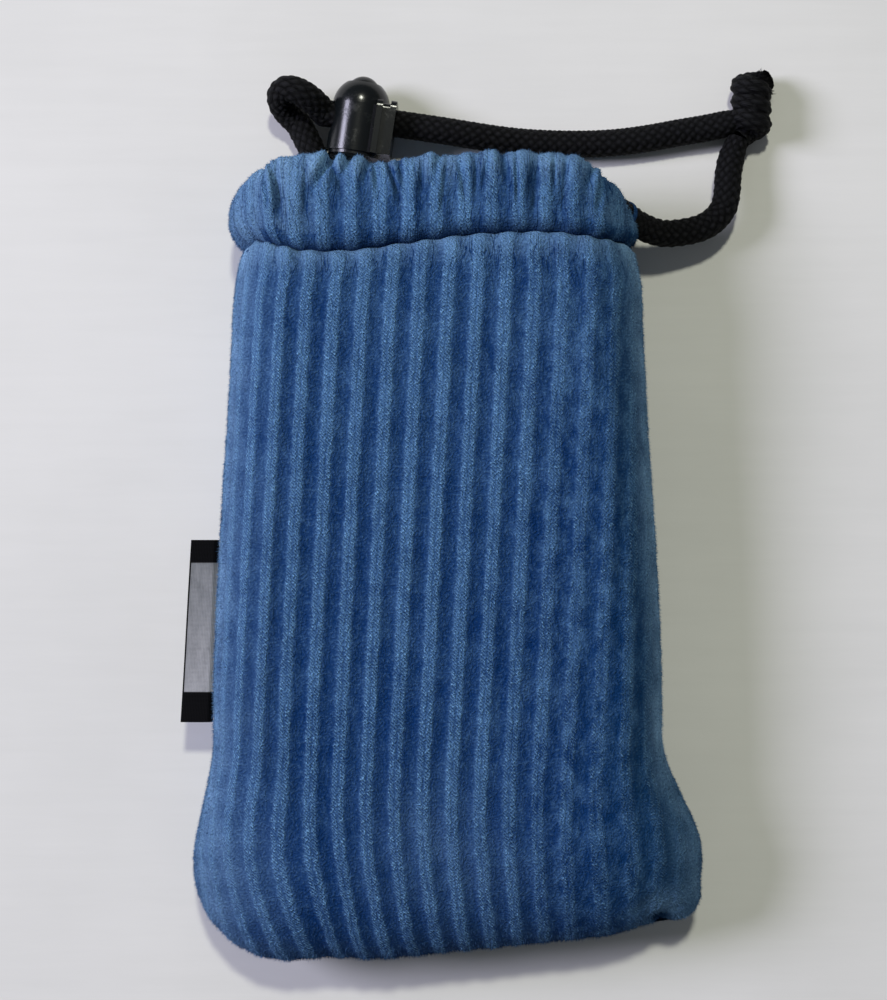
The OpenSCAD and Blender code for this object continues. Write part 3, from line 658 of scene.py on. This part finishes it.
def channel_tube(name, side):
    """The channel's tube, loop by loop across the mouth, and its pile."""
    u = np.linspace(-1, 1, 451)[:, None]
    angle = np.linspace(0, 2 * math.pi, 73)[None, :-1]
    middle = (groove_at(u) + top_at(u, side)) / 2
    half_height = (top_at(u, side) - groove_at(u)) / 2 - 0.25
    half_thick = channel_thickness / 2
    at_groove = np.clip((1 + np.cos(angle)) / 2, 0, 1) ** 3
    depth = half_thick - half_thick * power(np.sin(angle), 0.85) + (2.8 - half_thick) * at_groove
    y = middle - half_height * power(np.cos(angle), 0.7)
    far_from_bottom = 150.0
    points = pouch_point(u, y, depth, far_from_bottom, side)
    along = np.gradient(points, axis=0)
    round_it = np.roll(points, -1, 1) - np.roll(points, 1, 1)
    normal = np.cross(along, round_it)
    normal /= np.linalg.norm(normal, axis=-1, keepdims=True) + 1e-9
    normal *= side
    fan = u**3 * 0.55 * (y - groove_y) / 15
    n = rib_index(u - fan * 0.11, 30 + 0 * y) + 0.22
    outer = np.clip(np.sin(angle) * 3 + 0.6, 0, 1)
    gather = ripple(u * 66, y * 0.35, 5) * 0.5 * (0.5 + 0.5 * ease((y - groove_y) / 8))
    x = points[..., 0]
    folds = fold_depth(x, y)
    level = np.abs(np.sin(angle)) ** 0.8 * (0.25 + 0.75 * np.cos(side_angle(u, y, side)))
    relief = level * (0.3 + 0.3 * ease((73 - y) / 5))
    ribs = rib_height * (0.45 + (rib_shape(n) * 0.85 - 0.4) * relief)
    lift = outer * (ribs + gather - (folds if side == FRONT else 0))
    edge = np.clip((1 - np.abs(u)) / 0.02, 0, 1)
    normal[..., 2] *= edge
    points = settle(points + normal * lift[..., None])
    points[..., 2] = np.maximum(points[..., 2], 0)
    # Painted light on the tube: painted highlight along its top, painted sheen at both ends,
    # painted shade in its folds and along its underside above the groove.
    painted_light = 0.68 * ease((y - 66.5) / 8) + 0.62 * ease((-18 - x) / 14) + 0.3 * ease((x - 24) / 10)
    painted_light = painted_light * (0.8 + 0.5 * ripple(u * 90, y * 0.5, 15)) - 0.6 * np.minimum(folds, 0.5)
    painted_light = painted_light - 0.65 * ease((groove_at(u) + 3.4 - y) / 3.2) * (x > -33)
    values = {"rib": n + 0 * y, "run": y, "turn": np.clip(painted_light, -0.7, 0.82)}
    fuzz = 0.15 + 3 * np.clip(-np.cos(angle), 0, 1) ** 6 + 3 * np.sin(side_angle(u, y, side)) ** 6
    fuzz = fuzz * (outer > 0.4)
    return [
        grid_mesh(name, points, side == FRONT, True, values),
        pile(name + "_pile", points, normal, fuzz, values, count=11000, seed=31 + side),
    ]


gathered = velour_finish("gathered_velour", base=0.1, gathers=1.0)
for side, name, node in (
    (FRONT, "front_channel", "front_casing"),
    (BACK, "back_channel", "back_casing"),
):
    channel = piece(name, channel_tube(name, side), gathered)
    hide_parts(node)

# ---- Stitching ----
# Spun polyester thread: the row in the groove, the hidden seams, the tack at the bottom
# right corner, and the two whipped eyelets where the cord leaves its channel.

thread, s, shader = finish("spun_thread", Roughness=0.85, Specular_IOR_Level=0.05)
twist = s.noise(0.3, 2).step(0.3, 0.7)
feed(
    shader,
    Base_Color=twist.mix((0.004, 0.022, 0.075, 1), (0.02, 0.06, 0.15, 1)),
    Normal=twist.bump(0.05),
)


def dress(node, material):
    """Gives a solid part its material."""
    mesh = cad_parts[node].data
    mesh.materials.clear()
    mesh.materials.append(material)


for node in (
    "front_casing_stitching",
    "back_casing_stitching",
    "left_seam_thread",
    "right_seam_thread",
    "bottom_seam_thread",
):
    dress(node, thread)


def turned_frame(direction):
    """The given direction and two square to it, all of length 1."""
    d = np.array(direction, float)
    d /= np.linalg.norm(d)
    a = np.cross(d, [0.0, 0.0, 1.0] if abs(d[2]) < 0.9 else [1.0, 0.0, 0.0])
    a /= np.linalg.norm(a)
    return d, a, np.cross(d, a)


def eyelet(name, centre, direction):
    """Buttonhole stitches side by side round the cord."""
    d, a, b = turned_frame(direction)
    stitches, hole_radius, sunk = 44, 2.58, 1.4
    turns = np.linspace(0, 2 * math.pi, 241)
    ring = np.linspace(0, 2 * math.pi, 13)
    swell = 0.78 + 0.22 * np.abs(np.sin(turns * stitches / 2))[:, None]
    out = (hole_radius + 0.22 * swell * np.cos(ring)[None, :])[..., None]
    high = (-sunk + 0.6 * swell * np.sin(ring)[None, :])[..., None]
    spoke = (np.cos(turns)[:, None] * a + np.sin(turns)[:, None] * b)[:, None, :]
    return grid_mesh(name, np.array(centre) + spoke * out + high * d)


def tack(name):
    """Short stitches to and fro across the bottom edge, close together at the corner."""
    first, last, pitch = 42.6, 46.6, 0.8
    reach, thread_radius = 0.9, 0.17
    x = np.linspace(first, last, 121)
    swing = np.sin((x - first) * 2 * math.pi / pitch)
    y = np.interp(x, (first, last), (-67.0, -66.0)) - 0.25 * (1 - swing**2)
    route = np.stack([x, y, seam_z + reach * swing], -1)
    along = np.gradient(route, axis=0)
    a = np.array([0.0, 1.0, 0.0])
    b = np.cross(along / np.linalg.norm(along, axis=1, keepdims=True), a)
    ring = np.linspace(0, 2 * math.pi, 9)[None, :, None]
    round_it = np.cos(ring) * a + np.sin(ring) * b[:, None, :]
    return grid_mesh(name, route[:, None, :] + thread_radius * round_it)


corner_stitches = piece("corner_stitches", [tack("corner_stitches")], thread)
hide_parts("corner_tack")
right_exit_dir = np.array([0.65701, -0.306158, -0.688916])
right_end = np.array([36.77, 62.4525, 10.3475])
back_exit_dir = np.array([-0.28, 0.96, 0.0])
back_end = np.array([-21.928, 72.896, 4.55])
right_eyelet = right_end - 2.8 * right_exit_dir
back_eyelet = back_end - 2.6 * back_exit_dir
for name, node, centre, direction in (
    ("right_whipping", "right_eyelet_stitching", right_eyelet, right_exit_dir),
    ("back_whipping", "back_eyelet_stitching", back_eyelet, back_exit_dir),
):
    whipping = piece(name, [eyelet(name, centre, direction)], thread)
    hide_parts(node)

# ---- Side label ----
# A strip of black woven tape with a bare grey panel, cut to length, folded double and
# caught in the left side seam.

tape, s, shader = finish("woven_tape", Roughness=0.7, Specular_IOR_Level=0.04)
run, wide = s.value("run"), s.value("rib")
warp = (run * 4.2).wave()
weft = (wide * 3.4).wave()
cloth_grain = warp * 0.6 + weft * 0.4
panel_mask = run.band(-25.4, -1.2, 0.12) * wide.step(0.2, 0.42)
black = cloth_grain.mix((0.001, 0.001, 0.0012, 1), (0.006, 0.006, 0.007, 1))
faded = s.noise(1.2, 3, 0.6, (1.0, 0.3, 1.0))
grey_tone = cloth_grain * 0.3 + faded * 0.7 - run * 0.016 - 0.1
grey = grey_tone.mix((0.08, 0.09, 0.095, 1), (0.36, 0.36, 0.37, 1))
rough_edge = (s.noise(0.8, 3) - 0.5) * 0.5
feed(
    shader,
    Base_Color=(panel_mask + rough_edge * panel_mask).mix(black, grey),
    Normal=cloth_grain.bump(0.06),
)


def label_strip():
    """The folded tape: from the seam out over the front, round the fold and back beneath."""
    fold = 0.12
    along = np.linspace(label_top, label_low, 90)[:, None]
    share = (label_top - along) / (label_top - label_low)
    root = -41.88 - 1.23 * share
    width = 5.26 + 0.8 * share
    around = np.linspace(-1, 1, 81)[None, :]
    x = root - width * np.minimum(1, (1 - np.abs(around)) / (1 - fold))
    wide = root - x
    swelling = ease(wide / 1.1)
    half = 0.1 + 0.45 * swelling
    layer_thickness = 0.05 + 0.38 * swelling
    face = np.sin(np.clip(around / fold, -1, 1) * math.pi / 2)
    curl = 0.25 * np.sin(share * 5.1 + 0.6) * (wide / width) ** 2
    tucked = np.where(np.abs(around) < fold, 0.4, 0)
    y = along + 0 * x
    outer = np.stack([x, y, seam_z + half * face + curl], -1)
    inner = np.stack([x + tucked, y, seam_z + (half - layer_thickness) * face + curl], -1)
    values = {"run": y, "rib": width - wide}  # rib: distance from the fold
    meshes = [
        grid_mesh("label", outer, False, values=values),
        grid_mesh("label_in", inner, True, values=values),
    ]
    for row in (0, -1):
        edge = np.stack([outer[row], inner[row]])
        plain_black = {"run": np.full(edge.shape[:2], -30.0), "rib": np.zeros(edge.shape[:2])}
        meshes.append(grid_mesh("label_edge", edge, row == 0, values=plain_black))
    return meshes


label = piece("folded_label", label_strip(), tape, "label")
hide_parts("side_label")

# ---- Drawcord ----
# One soft braided polyester cord, 5 mm thick: round the channel, out at the right end,
# and out at the back through a sharp fold and the lock. Both ends meet in the knot.

cord_diameter = 5.0


def smooth_route(points, step):
    """Points at even steps along a smooth curve through the given ones, with its length."""
    p = np.array(points, float)
    p = np.concatenate([[2 * p[0] - p[1]], p, [2 * p[-1] - p[-2]]])
    out = []
    for i in range(1, len(p) - 2):
        a, b, c, d = p[i - 1 : i + 3]
        t = np.linspace(0, 1, 40, endpoint=False)[:, None]
        second, third = 2 * a - 5 * b + 4 * c - d, 3 * b - a - 3 * c + d
        out.append(0.5 * (2 * b + (c - a) * t + second * t**2 + third * t**3))
    out = np.concatenate(out + [p[-2:-1]])
    far = np.concatenate([[0], np.cumsum(np.linalg.norm(np.diff(out, axis=0), axis=1))])
    even = np.linspace(0, far[-1], int(far[-1] / step) + 1)
    return np.stack([np.interp(even, far, out[:, k]) for k in range(3)], -1), even


def carried_frames(p, seed):
    """A pair of side directions carried along the route without twist."""
    t = np.gradient(p, axis=0)
    t /= np.linalg.norm(t, axis=1, keepdims=True)
    side = np.array(seed, float)
    sides = []
    for d in t:
        side = side - side.dot(d) * d
        side /= np.linalg.norm(side)
        sides.append(side)
    sides = np.array(sides)
    return sides, np.cross(t, sides)


def braid(name, p, far, radius, strands=9, pick=1.9, proud=0.32, around=72):
    """Tube with the over-and-under picks of a round braid.

    pick is one pick's length and proud how far it stands out. The points keep rib, a
    pick's height, and run, the place along it.
    """
    a, b = carried_frames(p, (0.13, 0.2, 1.0))
    turn = np.linspace(0, 2 * math.pi, around, endpoint=False)[None, :]
    one = strands * turn / (2 * math.pi) + far[:, None] / pick
    two = strands * turn / (2 * math.pi) - far[:, None] / pick
    over = (np.floor(one) + np.floor(two)) % 2 == 0
    across_one = 1 - (2 * (one % 1) - 1) ** 2
    across_two = 1 - (2 * (two % 1) - 1) ** 2
    upper, lower = np.where(over, across_one, across_two), np.where(over, across_two, across_one)
    pick_height = upper * (0.35 + 0.65 * lower)
    r = np.broadcast_to(np.asarray(radius, float), far.shape)[:, None]
    r = r - proud * 0.55 + proud * pick_height
    spoke = np.cos(turn)[..., None] * a[:, None, :] + np.sin(turn)[..., None] * b[:, None, :]
    points = p[:, None, :] + r[..., None] * spoke
    points[..., 2] = np.maximum(points[..., 2], 0.02)
    values = {
        "rib": np.broadcast_to(pick_height, points.shape[:2]),
        "run": np.where(over, one, two),
    }
    return grid_mesh(name, points, True, True, values)


black_braid, s, shader = finish("black_braid", Specular_IOR_Level=0.14)
raised = s.value("rib")
strands = (s.value("run") * 5 + s.noise(1.0) * 0.6).wave()
fluff = s.noise(0.35, 2)
# Raised picks are painted lighter and the hollows between them darker: painted highlight and
# painted shade.
tone = raised.step(0.35, 1.0) * 0.55 + strands * 0.2 + (fluff - 0.5) * 0.7
feed(
    shader,
    Base_Color=tone.step(-0.1, 1.1).mix((0.0006, 0.0007, 0.0009, 1), (0.0075, 0.008, 0.0095, 1)),
    Normal=(strands * 0.6 + fluff * 0.4).bump(0.12),
    Roughness=0.5 + fluff * 0.3,
)

right_points = [
    right_end,
    (39.4, 61.5, 8.9),
    (42.2, 61.1, 7.5),
    (45.8, 61.5, 6.5),
    (49.2, 62.4, 6.0),
    (51.8, 64.0, 5.7),
    (53.6, 66.4, 5.4),
    (54.3, 69.4, 4.9),
    (54.6, 72.8, 4.3),
    (55.2, 75.8, 3.8),
    (55.9, 77.9, 3.6),
    (56.7, 79.7, 3.4),
]
lock_place = np.array([-15.8, 83.3, 5.6])
lock_lean = math.radians(8.5)
cord_way = np.array([math.cos(lock_lean), -math.sin(lock_lean), 0.0])
left_points = [
    back_end,
    (-24.2, 75.8, 4.3),
    (-25.6, 78.8, 4.0),
    (-26.9, 81.4, 3.5),
    (-27.9, 83.0, 3.3),
    (-29.5, 84.5, 3.9),
    (-30.6, 86.0, 5.4),
    (-30.7, 87.4, 7.4),
    (-29.4, 88.2, 8.8),
    (-27.4, 87.8, 9.2),
    (-25.4, 86.8, 8.4),
    (-23.8, 85.6, 7.0),
]
left_points += [lock_place + at * cord_way for at in (-6.8, -5.6, 0.0, 8.0, 16.0)]
left_points += [
    (5.0, 80.2, 5.2),
    (10.0, 79.6, 4.2),
    (15.0, 79.2, 3.2),
    (20.0, 79.0, 2.6),
    (25.0, 78.9, 2.5),
    (30.0, 79.0, 2.5),
    (35.0, 79.4, 2.5),
    (40.0, 80.1, 2.6),
    (45.0, 81.0, 2.7),
    (50.0, 81.8, 3.0),
    (53.7, 82.5, 3.4),
    (56.0, 83.1, 3.8),
    (57.4, 83.4, 4.0),
]
channel_points = [
    right_end,
    (34.4048, 63.5547, 12.8276),
    (29.3851, 65.8737, 18.0438),
    (26.1446, 66.6081, 19.5664),
    (20.4731, 66.7075, 19.8353),
    (11.4125, 66.7233, 20.1105),
    (2.35193, 66.6508, 20.2394),
    (-6.70865, 66.4901, 20.222),
    (-15.7692, 66.2412, 20.0583),
    (-24.8298, 65.9041, 19.7482),
    (-27.85, 65.7599, 19.6124),
    (-29.9359, 65.3534, 19.1053),
    (-31.8176, 64.6475, 17.8336),
    (-33.3109, 63.6812, 15.9247),
    (-34.2696, 62.5204, 13.569),
    (-34.6, 61.25, 11),
    (-34.2696, 62.2402, 9.00684),
    (-33.3109, 63.1441, 7.20879),
    (-31.8176, 63.8766, 5.78184),
    (-29.9359, 64.3718, 4.86569),
    (-26, 64.6, 4.55),
    (-22.9, 65, 4.55),
    (-20.9, 66.8, 4.55),
    (-20.864, 69.248, 4.55),
    back_end,
]


def run_of_cord(name, points, node, ends=None, step=0.24):
    """Braided cord along points; ends gives the length that thins out and its last radius."""
    p, far = smooth_route(points, step)
    radius = np.full(len(far), cord_diameter / 2)
    if ends:
        length, last = ends
        radius = radius - (cord_diameter / 2 - last) * ease((far - far[-1] + length) / length)
    obj = piece(name, [braid(name, p, far, radius)], black_braid)
    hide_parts(node)
    return obj, p, far[-1]


run_of_cord("channel_cord", channel_points, "drawcord_in_casing", step=0.5)
right_cord, right_path, right_length = run_of_cord(
    "right_cord", right_points, "drawcord_right_run", (5.0, 2.1)
)
left_cord, left_path, left_length = run_of_cord(
    "left_cord", left_points, "drawcord_left_run", (4.0, 2.0)
)

# ---- Cord lock ----
# Injection-moulded barrel with a squared collar, a push button over a steel spring, and a
# base plug. The button's cross hole pinches the cord against the barrel's.

plastic, s, shader = finish("moulded_plastic", Specular_IOR_Level=0.38)
scuff = s.noise(2.5, 4, 0.65).step(0.52, 0.75)
grain = s.noise(0.25, 2)
wear = scuff * 0.5 + grain * 0.2
feed(
    shader,
    Base_Color=wear.mix((0.0024, 0.0034, 0.0038, 1), (0.010, 0.012, 0.013, 1)),
    Roughness=0.19 + scuff * 0.2 + grain * 0.06,
    Normal=grain.bump(0.02, 0.5),
)
spring_steel, s, shader = finish("spring_wire", Metallic=1.0)
drawn = s.noise(0.2, 3)
feed(
    shader,
    Base_Color=drawn.mix((0.35, 0.35, 0.36, 1), (0.62, 0.62, 0.64, 1)),
    Roughness=0.28 + drawn * 0.15,
)
for node in ("lock_housing", "lock_base", "lock_plunger"):
    dress(node, plastic)

button_way = np.array([math.sin(lock_lean), math.cos(lock_lean), 0])
spring_low, spring_high = -6.055, -3.545
spring_radius, spring_wire, spring_turns = 2.4, 0.45, 2.75


def coil_spring(name):
    """A wire wound round the lock's axis, its two ends closed."""
    t = np.linspace(0, 1, 200)[:, None, None]
    ring = np.linspace(0, 2 * math.pi, 13)[None, :, None]
    angle = 2 * math.pi * spring_turns * t
    spoke = np.cos(angle) * cord_way - np.sin(angle) * np.array([0, 0, 1])
    inside = np.minimum(np.arange(200), np.arange(200)[::-1]) > 0
    radius = spring_wire / 2 * inside[:, None, None]
    height = spring_low + (spring_high - spring_low) * t
    centre = lock_place + spring_radius * spoke + height * button_way
    return grid_mesh(name, centre + radius * (np.cos(ring) * spoke + np.sin(ring) * button_way))


spring = piece("coil_spring", [coil_spring("coil_spring")], spring_steel, "lock")
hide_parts("lock_spring")
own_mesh(spring)

# ---- Knot ----
# Both ends laid together and pulled into a tight hard knot, with two short frayed ends
# standing out past it.

knot_place = np.array([59.1, 81.5, 4.5])
coil_radius, coil_pitch = 1.75, 2.95
knot_points = [(56.7, 79.7, 3.4), (57.5, 80.6, 3.0), (58.4, 81.1, 2.6)]
for t in np.radians(np.linspace(-90, 930, 28)):
    height = coil_pitch * (t + math.pi / 2) / (2 * math.pi)
    knot_points.append(
        knot_place + (coil_radius * math.cos(t), height, coil_radius * math.sin(t))
    )
knot_points += [(59.6, 90.4, 3.3), (61.3, 90.6, 3.7), (62.2, 90.9, 4.4)]
knot_path, knot_far = smooth_route(knot_points, 0.2)
knot_radius = 2.1 + 0.15 * np.sin(knot_far * 0.55 + 1.0)
knot_mesh = braid(
    "knot", knot_path, knot_far, knot_radius, strands=8, pick=2.1, proud=0.34, around=60
)
knot = piece("knot", [knot_mesh], black_braid)
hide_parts("cord_knot")


def frayed_end(name, start, direction, radius, length, count, seed):
    """Loose filaments that spread from a cut end."""
    rng = np.random.default_rng(seed)
    d, a, b = turned_frame(direction)
    points, faces = [], []
    for _ in range(count):
        turn = rng.uniform(0, 2 * math.pi)
        off = radius * math.sqrt(rng.uniform(0, 1))
        spoke = math.cos(turn) * a + math.sin(turn) * b
        base = np.array(start) + off * spoke - 0.8 * d
        tip_dir = d + 0.55 * spoke * off / radius + rng.normal(0, 0.22, 3)
        reach = length * rng.uniform(0.45, 1.15)
        width = np.cross(tip_dir, rng.normal(0, 1, 3))
        width *= 0.11 / np.linalg.norm(width)
        mid = base + tip_dir * reach * 0.55 + rng.normal(0, 0.08, 3)
        tip = base + tip_dir * reach + rng.normal(0, 0.25, 3)
        k = len(points)
        points += [base - width, base + width, mid + width, mid - width, tip]
        faces += [(k, k + 1, k + 2, k + 3), (k + 3, k + 2, k + 4)]
    mesh = bpy.data.meshes.new(name)
    mesh.from_pydata((np.array(points) * MM).tolist(), [], faces)
    return mesh


ends = [
    frayed_end(
        "frayed_ends",
        (61.4, 90.2, 4.8),
        (1.0, 0.45, 0.4),
        radius=1.9,
        length=1.3,
        count=900,
        seed=4,
    ),
    frayed_end(
        "frayed_top",
        (59.6, 89.4, 5.8),
        (0.2, 0.8, 0.5),
        radius=2.1,
        length=0.9,
        count=800,
        seed=9,
    ),
]
tails = piece("frayed_tails", ends, black_braid)
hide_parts("cord_tails")

# ---- Floor, light and camera ----
# A pale painted board, soft daylight from the upper left, and a camera straight above.

board, s, shader = finish("painted_board", Roughness=0.6, Specular_IOR_Level=0.3)
patch = s.noise(90, 4, 0.6)
brushed = s.noise(9, 4, 0.7, (0.25, 3.0, 1.0))
paint = (patch * 0.75 + brushed * 0.25).step(0.3, 0.7)
feed(
    shader,
    Base_Color=paint.mix((0.612, 0.61, 0.575, 1), (0.668, 0.664, 0.628, 1)),
    Normal=brushed.bump(0.03, 0.4),
)
half = 2000
floor_points = [[[-half, -half, 0], [half, -half, 0]], [[-half, half, 0], [half, half, 0]]]
floor_mesh = grid_mesh("floor", np.array(floor_points, float), False)
floor = bpy.data.objects.new("floor", floor_mesh)
floor.data.materials.append(board)
bpy.context.scene.collection.objects.link(floor)


def lamp(name, place, target, size, watts, colour):
    """A round soft lamp that faces its target."""
    light = bpy.data.lights.new(name, "AREA")
    light.shape = "DISK"
    light.size = size
    light.energy = watts
    light.color = colour
    obj = bpy.data.objects.new(name, light)
    obj.location = place
    aim = np.array(target, float) - np.array(place, float)
    obj.rotation_euler = (
        math.atan2(math.hypot(aim[0], aim[1]), -aim[2]),
        0,
        math.atan2(aim[1], aim[0]) - math.pi / 2,
    )
    bpy.context.scene.collection.objects.link(obj)


lamp("ceiling_lamp", (0.05, 0.9, 1.56), (0, 0, 0), 0.16, 15.6, (1.0, 1.01, 0.87))
lamp("window", (-1.2, 0.3, 0.83), (0, 0, 0), 0.58, 22.0, (0.88, 0.86, 1.1))
world = bpy.data.worlds.new("room_light")
world.use_nodes = True
room = world.node_tree.nodes["Background"]
room.inputs["Color"].default_value = (0.86, 0.92, 1.0, 1)
room.inputs["Strength"].default_value = 0.145
bpy.context.scene.world = world
bpy.context.scene.view_settings.view_transform = "Standard"

camera_data = bpy.data.cameras.new("camera")
camera_data.sensor_fit = "VERTICAL"
camera_data.angle = math.radians(27.15)
camera_data.clip_start = 0.01
camera = bpy.data.objects.new("camera", camera_data)
camera.location = (0.00019, 0.0106, 0.4)
bpy.context.scene.collection.objects.link(camera)
bpy.context.scene.camera = camera
